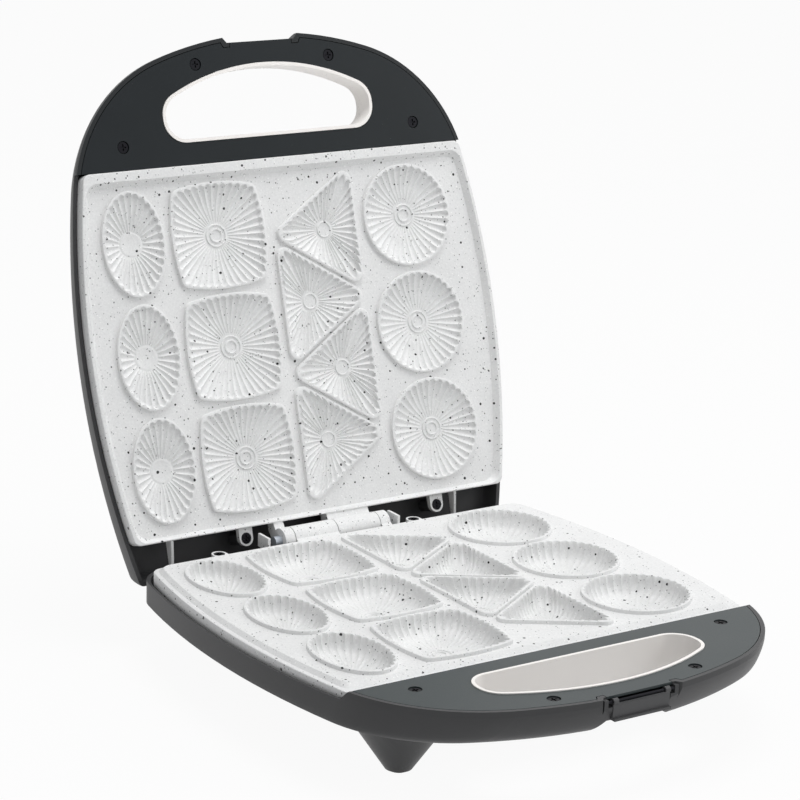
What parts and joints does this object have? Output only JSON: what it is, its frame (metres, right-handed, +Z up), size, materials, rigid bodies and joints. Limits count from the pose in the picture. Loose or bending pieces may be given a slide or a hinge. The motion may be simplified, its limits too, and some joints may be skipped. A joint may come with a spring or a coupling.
{
  "type": "donut maker",
  "caption": "Clamshell table-top cake maker: two hinged halves with fluted moulds in white plates, a grip opening in each handle, a swing-up lock clip and tall cone feet.",
  "frame": {"origin": "on the table, under the middle of the opened object's bounding box", "axes": "+X to the user's right, +Y from the handle towards the hinge, +Z up"},
  "size_m": [0.282, 0.3976, 0.3309],
  "materials": {
    "plate_coating": "speckled warm white non-stick coating on cast metal",
    "housing_plastic": "satin, dark grey",
    "base_cover_plastic": "satin, mid grey",
    "lid_cover_plastic": "satin, charcoal",
    "ring_plastic": "smooth white",
    "clip_plastic": "satin, dark grey",
    "black_screw": "blackened",
    "plain_steel": "plain bright",
    "ceramic": "unglazed white",
    "reflector_sheet": "bright rolled sheet",
    "thermostat_body": "dark moulded",
    "lead_sleeve": "woven glass sleeve",
    "foot_rubber": "matt black",
    "red_lens": "clear red",
    "green_lens": "clear green",
    "lamp_glass": "small neon lamp"
  },
  "bodies": {
    "base": {"base_housing": "housing_plastic", "base_handle_cover": "base_cover_plastic", "base_grip_ring": "ring_plastic", "base_plate": "plate_coating", "base_heater": "plain_steel", "base_heater_ends": "ceramic", "base_reflector": "reflector_sheet", "base_cover_screws": "black_screw", "base_plate_screws": "black_screw", "foot_pads": "foot_rubber", "hinge_pin": "plain_steel", "cord_gland": "foot_rubber", "base_thermostat": "thermostat_body", "thermal_fuse": "plain_steel", "terminal_block": "ceramic", "base_leads": "lead_sleeve", "clip_pin": "black_screw"},
    "lid": {"lid_housing": "housing_plastic", "lid_handle_cover": "lid_cover_plastic", "lid_grip_ring": "ring_plastic", "lid_plate": "plate_coating", "lid_heater": "plain_steel", "lid_heater_ends": "ceramic", "lid_reflector": "reflector_sheet", "lid_cover_screws": "black_screw", "lid_plate_screws": "black_screw", "lid_thermostat": "thermostat_body", "lid_lead": "lead_sleeve", "power_lamp_lens": "red_lens", "ready_lamp_lens": "green_lens", "indicator_lamps": "lamp_glass"},
    "lock_clip": {"lock_clip": "clip_plastic"}
  },
  "joints": [
    {"name": "lid_hinge", "type": "hinge", "parent": "base", "child": "lid", "pos_m": [0, 0.09613, 0.05175], "axis": [1, 0, 0], "range_deg": [0, 106.9]},
    {"name": "clip_swing", "type": "hinge", "parent": "base", "child": "lock_clip", "pos_m": [0, -0.19617, 0.0521], "axis": [-1, 0, 0], "range_deg": [0, 180]}
  ]
}
